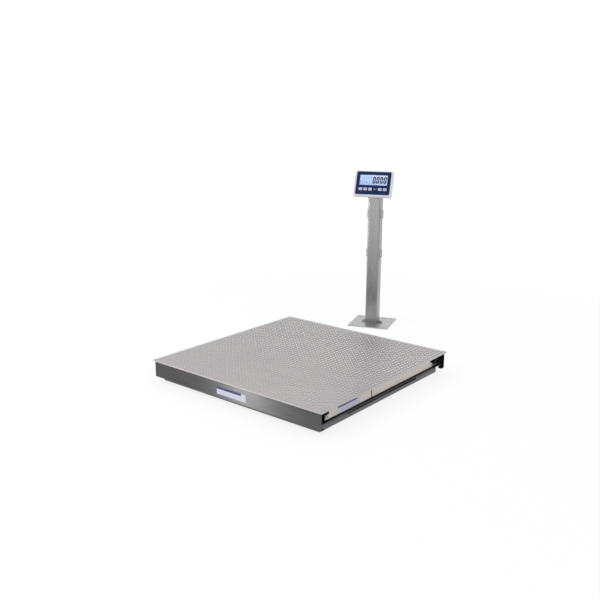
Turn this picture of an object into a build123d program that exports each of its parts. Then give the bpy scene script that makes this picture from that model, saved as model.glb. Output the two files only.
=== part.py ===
from build123d import *
import math
import os

# Stainless floor scale: a square lift-up weighing deck on a low base frame with four load cells,
# and a free-standing column that carries the indicator. Millimetres, +Z up, floor at z = 0.
# The origin is the middle of the footprint of platform and stand together; +X runs along the front skirt.

# Platform envelope
platform_length = 1250.0
platform_width = 1250.0
platform_height = 130.0

# Deck sheet metal
deck_thickness = 6.0
deck_corner_radius = 3.0
deck_overhang = 10.0
skirt_thickness = 4.0
skirt_depth = 96.0
lip_width = 22.0
bend_radius = 3.0
side_web_inset = 34.0
side_web_thickness = 4.0
side_flange_inset = 20.0
side_flange_thickness = 4.0
side_web_depth = 72.0
front_pocket = 60.0
rear_pocket = 106.0

# Removable side cover panels
panel_thickness = 4.0
panel_height = 58.0
panel_top_gap = 4.0
panel_seam_gap = 8.0
panel_seam_offset = -146.0
panel_tab_length = 26.0
panel_tab_height = 26.0
panel_tab_hole_radius = 5.0

# Deck stiffening ribs and bearing plates
rib_width = 60.0
rib_depth = 38.0
rib_thickness = 4.0
rib_cell_gap = 2.0
rib_count = 3
bearing_size = 72.0
bearing_thickness = 12.0

# Base frame of rectangular tube
frame_inset = 45.0
rail_width = 60.0
rail_height = 20.0
rail_wall = 3.0
rail_lift = 3.0
cross_front_offset = -250.0
cross_rear_offset = 70.0
corner_plate_length = 236.0
corner_plate_width = 136.0
corner_plate_thickness = 10.0
cell_pad_height = 10.0
cell_pad_length = 90.0

# Load cells, their screws and load buttons
cell_width = 34.0
cell_height = 34.0
cell_length = 170.0
cell_end_margin = 22.0
cell_setback = 125.0
cell_bolt_radius = 6.0
cell_bolt_head_radius = 9.0
cell_bolt_head_height = 12.0
cell_bolt_spacing = 50.0
cell_bolt_end_margin = 23.0
cell_bolt_seat_depth = 16.0
gauge_bore_radius = 11.0
gauge_bore_spacing = 24.0
button_stem_radius = 8.0
button_stem_depth = 12.0
button_base_radius = 15.0
button_base_height = 9.0
button_spindle_radius = 9.0
button_top_round = 3.0
cell_gland_radius = 6.0
cell_gland_length = 10.0

# Levelling feet
foot_inset = 139.0
foot_pad_radius = 25.0
foot_pad_height = 8.0
foot_spindle_radius = 8.0
foot_hex_radius = 13.0
foot_hex_height = 12.0
foot_rise = 14.0
foot_slot_width = 3.0
foot_slot_depth = 4.0

# Deck hinge at the rear
hinge_setback = 27.0
hinge_height = 48.0
hinge_inset = 65.0
hinge_pin_radius = 5.0
hinge_pin_head_radius = 8.0
hinge_pin_head_height = 4.0
hinge_eye_radius = 11.0
hinge_arm_thickness = 10.0
hinge_arm_depth = 24.0
hinge_ear_thickness = 6.0
hinge_ear_gap = 0.5
hinge_ear_length = 42.0
lip_notch_width = 60.0
arm_lug_thickness = 8.0
arm_lug_depth = 22.0
arm_lug_gap = 5.0
arm_bolt_radius = 4.0
arm_bolt_head_radius = 7.5
arm_bolt_head_height = 5.5
arm_bolt_low = 28.0
arm_bolt_spacing = 20.0

# Gas springs between base frame and deck
spring_inset = 205.0
spring_base_height = 60.0
spring_deck_setback = 137.0
spring_deck_height = 70.0
cylinder_radius = 11.0
cylinder_bore_radius = 9.0
cylinder_length = 250.0
cylinder_start = 14.0
cylinder_cap = 10.0
spring_eye_radius = 11.0
spring_eye_thickness = 12.0
spring_neck_radius = 5.0
spring_pin_radius = 5.0
rod_radius = 5.0
rod_length = 270.0
rod_eye_radius = 10.0
rod_eye_thickness = 10.0
open_pivot_gap = 0.3
piston_length = 10.0
pin_head_length = 3.0
stud_end_length = 1.0
spring_lug_thickness = 8.0
spring_lug_width = 24.0
spring_lug_gap = 0.5

# Junction box for the load cell cables
box_length = 160.0
box_width = 100.0
box_height = 45.0
box_wall = 2.0
box_lid_thickness = 3.0
box_screw_radius = 3.0
box_screw_head_radius = 6.0
box_pillar_radius = 7.0
box_screw_head_height = 2.5
box_screw_inset = 8.0
box_gland_radius = 9.0
box_gland_length = 18.0
box_gland_spacing = 48.0
box_gland_neck_radius = 5.0
box_gland_neck = 5.0
board_thickness = 1.6
board_margin = 12.0
board_lift = 12.0
standoff_radius = 3.0

# Stand: place, base plate and column
stand_x = -338.0
stand_distance = 1251.0
stand_turn = 19.4
stand_plate_size = 300.0
stand_plate_thickness = 8.0
stand_plate_corner = 4.0
anchor_hole_radius = 6.0
anchor_hole_offset = 120.0
column_size = 90.0
column_wall = 3.0
column_corner = 8.0
column_top = 954.0
column_flange_length = 150.0
column_flange_width = 44.0
column_flange_thickness = 6.0
column_bolt_offset = 60.0
column_bolt_radius = 5.0
column_bolt_head_radius = 9.0
column_bolt_head_height = 7.0
column_bolt_tip_gap = 1.0
washer_radius = 10.5
washer_thickness = 2.0
hook_length = 58.0
hook_width = 22.0
hook_reach = 12.0
hook_thickness = 2.0
hook_low = 506.0
hook_high = 797.0

# Tilting head bracket
cap_thickness = 4.0
tilt_axis_height = 47.0
tilt_axis_back = 0.0
tilt_ear_radius = 14.0
tilt_ear_thickness = 4.0
tilt_inner_spacing = 60.0
tilt_ear_gap = 0.3
tilt_bolt_radius = 5.0
tilt_knob_radius = 16.0
tilt_knob_height = 14.0
tilt_lobes = 6
tilt_groove_radius = 4.0
tilt_groove_offset = 1.3

# Indicator housing
head_width = 276.0
head_height = 188.0
head_lean = 22.0
head_forward = 128.0
head_bottom = 961.0
bezel_depth = 25.0
bezel_corner = 14.0
bezel_edge = 3.0
front_wall = 5.0
shell_wall = 2.5
tub_width = 240.0
tub_height = 152.0
tub_depth = 40.0
tub_taper = 8.0
tub_corner = 10.0
cover_flange = 3.0
cover_screw_radius = 2.0
cover_screw_head_radius = 4.0
cover_screw_head_height = 2.0
cover_screw_inset = 10.0
cover_screw_reach = 4.0
head_plate_width = 120.0
head_plate_height = 90.0
head_plate_thickness = 3.0
head_gland_radius = 8.0
head_gland_length = 14.0
head_gland_neck_radius = 5.0
head_gland_spacing = 60.0
head_gland_boss = 2.0
head_gland_boss_wall = 1.0

# Membrane front, window, display and keys
membrane_width = 250.0
membrane_height = 168.0
membrane_rise = 4.0
membrane_thickness = 1.5
membrane_corner = 10.0
window_width = 200.0
window_height = 74.0
window_rise = 27.0
window_thickness = 2.0
display_margin = 5.0
display_thickness = 9.0
display_glass_margin = 1.0
main_board_width = 216.0
main_board_height = 140.0
chip_size = 24.0
chip_height = 6.0
chip_spacing = 60.0
chip_rise = 35.0
chip_count = 3
supply_length = 70.0
supply_width = 36.0
supply_height = 14.0
key_names = ["power_key", "unit_key", "clear_key", "zero_key", "tare_key", "print_key"]
key_width = 26.0
key_height = 20.0
key_corner = 4.0
key_pitch = 35.5
key_drop = 40.0
key_proud = 0.6
key_sink = 1.0
key_travel_room = 0.6
key_clearance = 0.2

# Clearances
running_clearance = 0.05
seat_clearance = 0.03
bearing_gap = 0.3

# Levels and faces that several pieces share
deck_underside = platform_height - deck_thickness
half_length = platform_length / 2
half_width = platform_width / 2
skirt_outer = half_width - deck_overhang
skirt_inner = skirt_outer - skirt_thickness
skirt_end = half_length - deck_overhang
skirt_bottom = deck_underside - skirt_depth
web_outer = half_length - side_web_inset
web_inner = web_outer - side_web_thickness
flange_bottom = deck_underside - side_web_depth
flange_top = flange_bottom + side_flange_thickness
frame_x = half_length - frame_inset
frame_y = half_width - frame_inset
rail_top = rail_lift + rail_height
plate_top = rail_top + corner_plate_thickness
cell_bottom = plate_top + cell_pad_height
cell_top = cell_bottom + cell_height
cell_x = frame_x - rail_width / 2
cell_y = half_width - cell_setback
foot_x = half_length - foot_inset
foot_y = half_width - foot_inset
spring_x = half_length - spring_inset
hinge_x = half_length - hinge_inset
hinge_y = half_width - hinge_setback
turn = math.radians(stand_turn)
stand_reach = stand_plate_size / 2 * (math.cos(turn) + math.sin(turn))
platform_y = -(stand_distance + stand_reach - half_width) / 2

platform_place = Location((0, platform_y, 0))
stand_place = Location((stand_x, platform_y + stand_distance, 0), (0, 0, stand_turn))
lean = math.radians(head_lean)
head_centre_y = -head_forward + head_height / 2 * math.sin(lean)
head_centre_z = head_bottom + head_height / 2 * math.cos(lean)
head_plane = Plane(
    origin=(0, head_centre_y, head_centre_z),
    x_dir=(1, 0, 0),
    z_dir=(0, -math.cos(lean), math.sin(lean)),
)
head_place = stand_place * head_plane.location


def block(x0, x1, y0, y1, z0, z1):
    """A rectangular solid between two corners."""
    return Pos((x0 + x1) / 2, (y0 + y1) / 2, (z0 + z1) / 2) * Box(abs(x1 - x0), abs(y1 - y0), abs(z1 - z0))


def rod(radius, z0, z1, x=0.0, y=0.0):
    """An upright cylinder between two heights."""
    return Pos(x, y, (z0 + z1) / 2) * Cylinder(radius, abs(z1 - z0))


def rod_along_x(radius, x0, x1, y, z):
    """A cylinder lying along X."""
    return Pos((x0 + x1) / 2, y, z) * Rot(0, 90, 0) * Cylinder(radius, abs(x1 - x0))


def rod_along_y(radius, y0, y1, x, z):
    """A cylinder lying along Y."""
    return Pos(x, (y0 + y1) / 2, z) * Rot(90, 0, 0) * Cylinder(radius, abs(y1 - y0))


def hexagon(radius, z0, z1, x=0.0, y=0.0):
    """An upright hexagonal prism, radius across its corners."""
    return Pos(x, y, z0) * extrude(RegularPolygon(radius, 6), amount=z1 - z0)


def rounded_slab(width, height, corner, w0, w1):
    """A slab with rounded corners in its own plane, between two depths."""
    return Pos(0, 0, w0) * extrude(RectangleRounded(width, height, corner), amount=w1 - w0)


def profile_along_x(points, x0, x1):
    """A closed outline of (y, z) points drawn out along X."""
    outline = make_face(Plane.YZ * Polyline(*points, close=True))
    return Pos(x0, 0, 0) * extrude(outline, amount=x1 - x0, dir=(1, 0, 0))


def mirrored_in_x(shape):
    return mirror(shape, about=Plane.YZ)


def mirrored_in_y(shape):
    return mirror(shape, about=Plane.XZ)


def four_corners(shape):
    """A rear right piece with its mirror images at the rear left, front right and front left."""
    rear_left = mirrored_in_x(shape)
    return [shape, rear_left, mirrored_in_y(shape), mirrored_in_y(rear_left)]


def save(name, shapes, place):
    """Writes one node: a single solid or a group of separate solids."""
    solids = [solid for shape in shapes for solid in (place * shape).solids()]
    model = solids[0] if len(solids) == 1 else Compound(children=solids)
    model.label = name
    export_step(model, f"parts/{name}.step")


def deck_plate():
    plate = block(-half_length, half_length, -half_width, half_width, deck_underside, platform_height)
    return fillet(plate.edges().filter_by(Axis.Z), deck_corner_radius)


def skirt():
    """Rear skirt: an upright plate with its bottom edge turned inwards."""
    outline = [
        (skirt_outer, deck_underside),
        (skirt_outer, skirt_bottom),
        (skirt_inner - lip_width, skirt_bottom),
        (skirt_inner - lip_width, skirt_bottom + skirt_thickness),
        (skirt_inner, skirt_bottom + skirt_thickness),
        (skirt_inner, deck_underside),
    ]
    plate = profile_along_x(outline, -skirt_end, skirt_end)
    outer_bend = plate.edges().filter_by(Axis.X).sort_by(lambda e: e.center().Z - e.center().Y)[0]
    return fillet(outer_bend, bend_radius)


def rear_skirt():
    """The hinged side's skirt: a lip notched at each hinge and a welded lug for the arm's bolts."""
    plate = skirt()
    inner_face = hinge_x - hinge_arm_thickness / 2
    for side in (-1, 1):
        centre = side * hinge_x
        plate -= block(
            centre - lip_notch_width / 2,
            centre + lip_notch_width / 2,
            skirt_inner - lip_width - 1,
            skirt_inner,
            skirt_bottom - 1,
            skirt_bottom + skirt_thickness + 1,
        )
        plate += block(
            side * (inner_face - arm_lug_thickness),
            side * inner_face,
            skirt_inner - arm_lug_depth,
            skirt_inner,
            hinge_height + hinge_eye_radius + arm_lug_gap,
            deck_underside,
        )
        for height in arm_bolt_heights():
            plate -= rod_along_x(
                arm_bolt_radius + seat_clearance,
                side * (inner_face - arm_lug_thickness - 1),
                side * (inner_face + 1),
                arm_bolt_y(),
                height,
            )
    return plate


def side_beam():
    """Right-hand beam: web between the corner pockets and full-length flange."""
    web = block(
        web_inner,
        web_outer,
        -skirt_inner + front_pocket + panel_tab_length,
        skirt_inner - rear_pocket - panel_tab_length,
        flange_bottom,
        deck_underside,
    )
    flange_outer = half_length - side_flange_inset
    return web + block(web_inner, flange_outer, -skirt_inner, skirt_inner, flange_bottom, flange_top)


def side_panel(y0, y1, tab_end):
    """A cover panel screwed on the outside of the side beam, with a fixing tab at its pocket end."""
    top = deck_underside - panel_top_gap
    bottom = top - panel_height
    outer = web_outer + panel_thickness
    body0 = y0 + panel_tab_length if tab_end < 0 else y0
    body1 = y1 - panel_tab_length if tab_end > 0 else y1
    plate = block(web_outer, outer, body0, body1, bottom, top)
    centre_y = y0 + panel_tab_height / 2 if tab_end < 0 else y1 - panel_tab_height / 2
    centre_z = bottom + panel_tab_height / 2
    reach = body0 if tab_end < 0 else body1
    tab_top = bottom + panel_tab_height
    plate += block(web_outer, outer, min(centre_y, reach), max(centre_y, reach), bottom, tab_top)
    plate += rod_along_x(panel_tab_height / 2, web_outer, outer, centre_y, centre_z)
    return plate - rod_along_x(panel_tab_hole_radius, web_outer - 1, outer + 1, centre_y, centre_z)


def side_panels():
    front_end = -skirt_inner + front_pocket
    rear_end = skirt_inner - rear_pocket
    front = side_panel(front_end, panel_seam_offset - panel_seam_gap / 2, -1)
    rear = side_panel(panel_seam_offset + panel_seam_gap / 2, rear_end, 1)
    return [front, rear]


def deck_ribs():
    """Open channels welded under the deck between the side beams, evenly spaced between the load cells."""
    ribs = []
    low = deck_underside - rib_depth
    last = cell_inner_end() - rib_cell_gap - rib_width / 2
    for index in range(rib_count):
        y = last * (2 * index / (rib_count - 1) - 1)
        outside = block(-web_inner, web_inner, y - rib_width / 2, y + rib_width / 2, low, deck_underside)
        inside = block(
            -web_inner - 1,
            web_inner + 1,
            y - rib_width / 2 + rib_thickness,
            y + rib_width / 2 - rib_thickness,
            low + rib_thickness,
            deck_underside + 1,
        )
        ribs.append(outside - inside)
    return ribs


def bearing_plates():
    """Hard plates under the deck that rest on the load buttons."""
    half = bearing_size / 2
    low = deck_underside - bearing_thickness
    plate = block(cell_x - half, cell_x + half, cell_y - half, cell_y + half, low, deck_underside)
    return four_corners(plate)


def tube(x0, x1, y0, y1, along):
    """A base frame tube of rectangular section, open at both ends."""
    outside = block(x0, x1, y0, y1, rail_lift, rail_top)
    low = rail_lift + rail_wall
    high = rail_top - rail_wall
    if along == "x":
        return outside - block(x0 - 1, x1 + 1, y0 + rail_wall, y1 - rail_wall, low, high)
    return outside - block(x0 + rail_wall, x1 - rail_wall, y0 - 1, y1 + 1, low, high)


def rear_rail():
    """A full-width tube with plates that close its ends."""
    inner_y = frame_y - rail_width
    rail = tube(-frame_x + rail_wall, frame_x - rail_wall, inner_y, frame_y, "x")
    for side in (-1, 1):
        rail += block(side * (frame_x - rail_wall), side * frame_x, inner_y, frame_y, rail_lift, rail_top)
    return rail


def right_rail():
    inner_y = frame_y - rail_width
    return tube(frame_x - rail_width, frame_x, -inner_y, inner_y, "y")


def cross_members():
    inner_x = frame_x - rail_width
    tubes = []
    for y in (cross_front_offset, cross_rear_offset):
        tubes.append(tube(-inner_x, inner_x, y - rail_width / 2, y + rail_width / 2, "x"))
    return tubes


def cell_inner_end():
    return cell_y + cell_end_margin - cell_length


def cell_bolt_places():
    first = cell_inner_end() + cell_bolt_end_margin
    return [first, first + cell_bolt_spacing]


def corner_plates():
    """Thick plates on the frame's corners that carry a load cell and a levelling foot each."""
    plate = block(
        frame_x - corner_plate_width,
        frame_x,
        frame_y - corner_plate_length,
        frame_y,
        rail_top,
        plate_top,
    )
    pad = block(
        cell_x - cell_width / 2,
        cell_x + cell_width / 2,
        cell_inner_end(),
        cell_inner_end() + cell_pad_length,
        plate_top,
        cell_bottom,
    )
    plate += pad
    plate -= rod(foot_spindle_radius + running_clearance, rail_top - 1, plate_top + 1, foot_x, foot_y)
    for y in cell_bolt_places():
        plate -= rod(
            cell_bolt_radius + seat_clearance,
            cell_bottom - cell_bolt_seat_depth,
            cell_bottom + 1,
            cell_x,
            y,
        )
    return four_corners(plate)


def load_cell():
    """Shear beam with two gauge bores, two mounting holes, a button socket and a cable gland."""
    y0 = cell_inner_end()
    y1 = y0 + cell_length
    beam = block(cell_x - cell_width / 2, cell_x + cell_width / 2, y0, y1, cell_bottom, cell_top)
    middle_y = y0 + cell_pad_length + (cell_y - y0 - cell_pad_length) / 2 - button_stem_radius / 2
    middle_z = cell_bottom + cell_height / 2
    low = middle_y - gauge_bore_spacing / 2
    high = middle_y + gauge_bore_spacing / 2
    for y in (low, high):
        beam -= rod_along_x(gauge_bore_radius, cell_x - cell_width, cell_x + cell_width, y, middle_z)
    for y in cell_bolt_places():
        beam -= rod(cell_bolt_radius + seat_clearance, cell_bottom - 1, cell_top + 1, cell_x, y)
    socket = button_stem_radius + seat_clearance
    beam -= rod(socket, cell_top - button_stem_depth, cell_top + 1, cell_x, cell_y)
    return beam + rod_along_y(cell_gland_radius, y0 - cell_gland_length, y0, cell_x, middle_z)


def cell_bolts():
    """Socket head screws that hold the cells' fixed ends down."""
    bolts = []
    for y in cell_bolt_places():
        shank = rod(cell_bolt_radius, cell_bottom - cell_bolt_seat_depth, cell_top, cell_x, y)
        head = rod(cell_bolt_head_radius, cell_top, cell_top + cell_bolt_head_height, cell_x, y)
        socket = hexagon(
            cell_bolt_head_radius / 2,
            cell_top + cell_bolt_head_height / 2,
            cell_top + cell_bolt_head_height + 1,
            cell_x,
            y,
        )
        bolts += four_corners(shank + head - socket)
    return bolts


def load_buttons():
    """Round-topped spindles between the cells and the bearing plates."""
    top = deck_underside - bearing_thickness - bearing_gap
    stem = rod(button_stem_radius, cell_top - button_stem_depth, cell_top, cell_x, cell_y)
    base = hexagon(button_base_radius, cell_top, cell_top + button_base_height, cell_x, cell_y)
    spindle = rod(button_spindle_radius, cell_top + button_base_height, top, cell_x, cell_y)
    spindle = fillet(spindle.edges().group_by(Axis.Z)[-1], button_top_round)
    return four_corners(stem + base + spindle)


def levelling_foot():
    """Round pad, hexagon for a spanner and a slotted spindle that screws into the corner plate."""
    pad = rod(foot_pad_radius, 0, foot_pad_height, foot_x, foot_y)
    pad = chamfer(pad.edges().group_by(Axis.Z)[-1], foot_pad_height / 4)
    grip = hexagon(foot_hex_radius, foot_pad_height, foot_pad_height + foot_hex_height, foot_x, foot_y)
    top = plate_top + foot_rise
    spindle = rod(foot_spindle_radius, foot_pad_height, top, foot_x, foot_y)
    slot = block(
        foot_x - foot_spindle_radius - 1,
        foot_x + foot_spindle_radius + 1,
        foot_y - foot_slot_width / 2,
        foot_y + foot_slot_width / 2,
        top - foot_slot_depth,
        top + 1,
    )
    return pad + grip + spindle - slot


def hinge_ears(x):
    """Two ears welded on the rear corner plate, with the deck's arm between them."""
    front = frame_y - hinge_ear_length
    inner = hinge_arm_thickness / 2 + hinge_ear_gap
    outline = [
        (front, plate_top),
        (frame_y, plate_top),
        (hinge_y, hinge_height - hinge_eye_radius),
        (hinge_y, hinge_height + hinge_eye_radius),
        (front + hinge_eye_radius, hinge_height + hinge_eye_radius),
        (front, hinge_height),
    ]
    ears = []
    for side in (-1, 1):
        near = x + side * inner
        far = x + side * (inner + hinge_ear_thickness)
        ear = profile_along_x(outline, min(near, far), max(near, far))
        ear += rod_along_x(hinge_eye_radius, near, far, hinge_y, hinge_height)
        bore = hinge_pin_radius + seat_clearance
        ears.append(ear - rod_along_x(bore, near - side, far + side, hinge_y, hinge_height))
    return ears


def hinge_pin():
    """Right-hand headed pin through both ears and the deck's arm."""
    reach = hinge_arm_thickness / 2 + hinge_ear_gap + hinge_ear_thickness
    head_start = hinge_x + reach
    pin = rod_along_x(hinge_pin_radius, hinge_x - reach - 1, head_start, hinge_y, hinge_height)
    head_end = head_start + hinge_pin_head_height
    return pin + rod_along_x(hinge_pin_head_radius, head_start, head_end, hinge_y, hinge_height)


def arm_bolt_heights():
    return [hinge_height + arm_bolt_low, hinge_height + arm_bolt_low + arm_bolt_spacing]


def arm_bolt_y():
    return skirt_inner - arm_lug_depth / 2


def hinge_arm():
    """Right-hand deck arm: an eye on the pin and a plate bolted to the rear skirt's lug."""
    x0 = hinge_x - hinge_arm_thickness / 2
    x1 = hinge_x + hinge_arm_thickness / 2
    arm = block(x0, x1, skirt_inner - hinge_arm_depth, skirt_inner, hinge_height, deck_underside)
    arm += rod_along_x(hinge_eye_radius, x0, x1, hinge_y, hinge_height)
    arm -= rod_along_x(hinge_pin_radius + running_clearance, x0 - 1, x1 + 1, hinge_y, hinge_height)
    for height in arm_bolt_heights():
        arm -= rod_along_x(arm_bolt_radius + seat_clearance, x0 - 1, x1 + 1, arm_bolt_y(), height)
    return arm


def arm_bolts():
    """Hexagon screws through both arms into the skirt's lugs, heads outwards."""
    bolts = []
    outer_face = hinge_x + hinge_arm_thickness / 2
    tip = hinge_x - hinge_arm_thickness / 2 - arm_lug_thickness
    for height in arm_bolt_heights():
        shank = rod_along_x(arm_bolt_radius, tip, outer_face, arm_bolt_y(), height)
        head = Rot(0, 90, 0) * hexagon(arm_bolt_head_radius, 0, arm_bolt_head_height)
        bolt = shank + Pos(outer_face, arm_bolt_y(), height) * head
        bolts += [bolt, mirrored_in_x(bolt)]
    return bolts


def spring_angle():
    """Angle of the closed gas spring above the horizontal, and its length from pivot to pivot."""
    run = half_width - spring_deck_setback - cross_rear_offset
    rise = spring_deck_height - spring_base_height
    return math.degrees(math.atan2(rise, run)), math.hypot(rise, run)


def along_spring(shape, x):
    """Places a piece drawn along +Z from the base pivot on the spring's axis."""
    angle, length = spring_angle()
    return Pos(x, cross_rear_offset, spring_base_height) * Rot(angle - 90, 0, 0) * shape


def spring_cylinder(x):
    """Tube with a closed eye end and a guide at the rod end."""
    end = cylinder_start + cylinder_length
    body = rod(cylinder_radius, cylinder_start, end)
    body -= rod(cylinder_bore_radius, cylinder_start + cylinder_cap, end - cylinder_cap)
    body -= rod(rod_radius + running_clearance, end - cylinder_cap - 1, end + 1)
    neck = rod(spring_neck_radius, 0, cylinder_start + cylinder_cap / 2)
    eye = rod_along_x(spring_eye_radius, -spring_eye_thickness / 2, spring_eye_thickness / 2, 0, 0)
    bore = spring_pin_radius + running_clearance
    hole = rod_along_x(bore, -spring_eye_thickness, spring_eye_thickness, 0, 0)
    return along_spring(body + neck + eye - hole, x)


def spring_rod(x):
    """Polished rod with its piston in the cylinder and a pinned eye at the deck end."""
    side = 1 if x > 0 else -1
    length = spring_angle()[1]
    start = length - rod_length
    bar = rod(rod_radius, start, length)
    piston = rod(cylinder_bore_radius - 2 * running_clearance, start, start + piston_length)
    eye = rod_along_x(rod_eye_radius, -rod_eye_thickness / 2, rod_eye_thickness / 2, 0, length)
    pin_end = side * (rod_eye_thickness / 2 + spring_lug_gap - open_pivot_gap)
    pin_start = -side * (rod_eye_thickness / 2 + pin_head_length)
    pin = rod_along_x(spring_pin_radius, pin_start, pin_end, 0, length)
    return along_spring(bar + piston + eye + pin, x)


def spring_base_lug(x):
    """Upright lug on the rear cross member with the stud that the cylinder turns on."""
    side = 1 if x > 0 else -1
    near = x + side * (spring_eye_thickness / 2 + spring_lug_gap)
    far = near + side * spring_lug_thickness
    y0 = cross_rear_offset - spring_lug_width / 2
    y1 = cross_rear_offset + spring_lug_width / 2
    lug = block(near, far, y0, y1, rail_top, spring_base_height)
    lug += rod_along_x(spring_lug_width / 2, near, far, cross_rear_offset, spring_base_height)
    stud_end = x - side * (spring_eye_thickness / 2 + stud_end_length)
    return lug + rod_along_x(spring_pin_radius, near, stud_end, cross_rear_offset, spring_base_height)


def spring_deck_lug(x):
    """Hanging lug under the deck beside the rod's eye, with the eye's pin hole."""
    side = 1 if x > 0 else -1
    near = x + side * (rod_eye_thickness / 2 + spring_lug_gap)
    far = near + side * spring_lug_thickness
    y = half_width - spring_deck_setback
    half = spring_lug_width / 2
    lug = block(near, far, y - half, y + half, spring_deck_height, deck_underside)
    lug += rod_along_x(half, near, far, y, spring_deck_height)
    return lug - rod_along_x(
        spring_pin_radius + running_clearance, near - side, far + side, y, spring_deck_height
    )


def junction_box():
    """Open-topped box that stands on the front cross member."""
    y = cross_front_offset
    top = rail_top + box_height
    outside = block(-box_length / 2, box_length / 2, y - box_width / 2, y + box_width / 2, rail_top, top)
    outside = fillet(outside.edges().filter_by(Axis.Z), box_wall * 2)
    inside = block(
        -box_length / 2 + box_wall,
        box_length / 2 - box_wall,
        y - box_width / 2 + box_wall,
        y + box_width / 2 - box_wall,
        rail_top + box_wall,
        top + 1,
    )
    shell = outside - inside
    for sx, sy in box_corners():
        shell += rod(box_pillar_radius, rail_top + box_wall, top, sx, sy)
        shell -= rod(box_screw_radius + seat_clearance, top - box_height / 2, top + 1, sx, sy)
    for sx, side in gland_places():
        shell -= rod_along_y(
            box_gland_neck_radius,
            y + side * (box_width / 2 + 1),
            y + side * (box_width / 2 - box_wall - 1),
            sx,
            rail_top + box_height / 2,
        )
    return shell


def box_corners():
    dx = box_length / 2 - box_screw_inset
    dy = box_width / 2 - box_screw_inset
    return [(sx * dx, cross_front_offset + sy * dy) for sx in (-1, 1) for sy in (-1, 1)]


def gland_places():
    return [(step * box_gland_spacing, side) for step in (-1, 0, 1) for side in (-1, 1)]


def junction_box_lid():
    y = cross_front_offset
    low = rail_top + box_height
    lid = block(
        -box_length / 2, box_length / 2, y - box_width / 2, y + box_width / 2, low, low + box_lid_thickness
    )
    lid = fillet(lid.edges().filter_by(Axis.Z), box_wall * 2)
    for sx, sy in box_corners():
        lid -= rod(box_screw_radius + seat_clearance, low - 1, low + box_lid_thickness + 1, sx, sy)
    return lid


def junction_box_screws():
    screws = []
    lid_top = rail_top + box_height + box_lid_thickness
    for sx, sy in box_corners():
        shank = rod(box_screw_radius, lid_top - box_height / 2, lid_top, sx, sy)
        head = rod(box_screw_head_radius, lid_top, lid_top + box_screw_head_height, sx, sy)
        screws.append(shank + head)
    return screws


def junction_box_glands():
    """Cable glands with their blanking plugs: a nut outside the wall and a threaded neck through it."""
    glands = []
    height = rail_top + box_height / 2
    for sx, side in gland_places():
        face = cross_front_offset + side * box_width / 2
        neck_end = face - side * box_gland_neck
        neck = rod_along_y(box_gland_neck_radius - seat_clearance, face, neck_end, sx, height)
        nut = rod_along_y(box_gland_radius, face, face + side * box_gland_length, sx, height)
        glands.append(nut + neck)
    return glands


def summing_board():
    """Printed board on four standoffs in the junction box."""
    y = cross_front_offset
    dx = box_length / 2 - box_wall - board_margin
    dy = box_width / 2 - box_wall - board_margin
    floor = rail_top + box_wall
    low = floor + board_lift
    board = block(-dx, dx, y - dy, y + dy, low, low + board_thickness)
    for sx in (-1, 1):
        for sy in (-1, 1):
            place_x = sx * (dx - 2 * standoff_radius)
            place_y = y + sy * (dy - 2 * standoff_radius)
            board += rod(standoff_radius, floor, low, place_x, place_y)
    return board


def stand_base_plate():
    plate = rounded_slab(stand_plate_size, stand_plate_size, stand_plate_corner, 0, stand_plate_thickness)
    for sx in (-1, 1):
        for sy in (-1, 1):
            plate -= rod(
                anchor_hole_radius,
                -1,
                stand_plate_thickness + 1,
                sx * anchor_hole_offset,
                sy * anchor_hole_offset,
            )
        plate -= rod(
            column_bolt_radius + seat_clearance, -1, stand_plate_thickness + 1, sx * column_bolt_offset, 0
        )
    return plate


def column():
    """Square tube welded on a flange that is screwed to the base plate."""
    low = stand_plate_thickness
    post = rounded_slab(column_size, column_size, column_corner, low, column_top)
    flange = block(
        -column_flange_length / 2,
        column_flange_length / 2,
        -column_flange_width / 2,
        column_flange_width / 2,
        low,
        low + column_flange_thickness,
    )
    post += flange
    bore = column_size - 2 * column_wall
    post -= rounded_slab(bore, bore, column_corner - column_wall, low - 1, column_top + 1)
    for side in (-1, 1):
        post -= rod(
            column_bolt_radius + seat_clearance,
            low - 1,
            low + column_flange_thickness + 1,
            side * column_bolt_offset,
            0,
        )
    return post


def column_bolts():
    """Hexagon screws with washers that hold the column's flange to the base plate."""
    bolts = []
    seat = stand_plate_thickness + column_flange_thickness
    for side in (-1, 1):
        x = side * column_bolt_offset
        shank = rod(column_bolt_radius, column_bolt_tip_gap, seat, x, 0)
        washer = rod(washer_radius, seat, seat + washer_thickness, x, 0)
        head_low = seat + washer_thickness
        head = hexagon(column_bolt_head_radius, head_low, head_low + column_bolt_head_height, x, 0)
        bolts.append(shank + washer + head)
    return bolts


def cable_hooks():
    """Bent strips on both sides of the column that open upwards and hold the looped cable."""
    hooks = []
    face = column_size / 2
    outer = face + hook_reach
    for low in (hook_low, hook_high):
        high = low + hook_length
        foot = block(face, outer, -hook_width / 2, hook_width / 2, low, low + hook_thickness)
        leg = block(outer - hook_thickness, outer, -hook_width / 2, hook_width / 2, low, high)
        hook = foot + leg
        bend = hook.edges().filter_by(Axis.Y).sort_by(lambda e: e.center().Z - e.center().X)[0]
        hook = fillet(bend, hook_thickness)
        hooks += [hook, mirrored_in_x(hook)]
    return hooks


def tilt_height():
    return column_top + cap_thickness + tilt_axis_height


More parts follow.
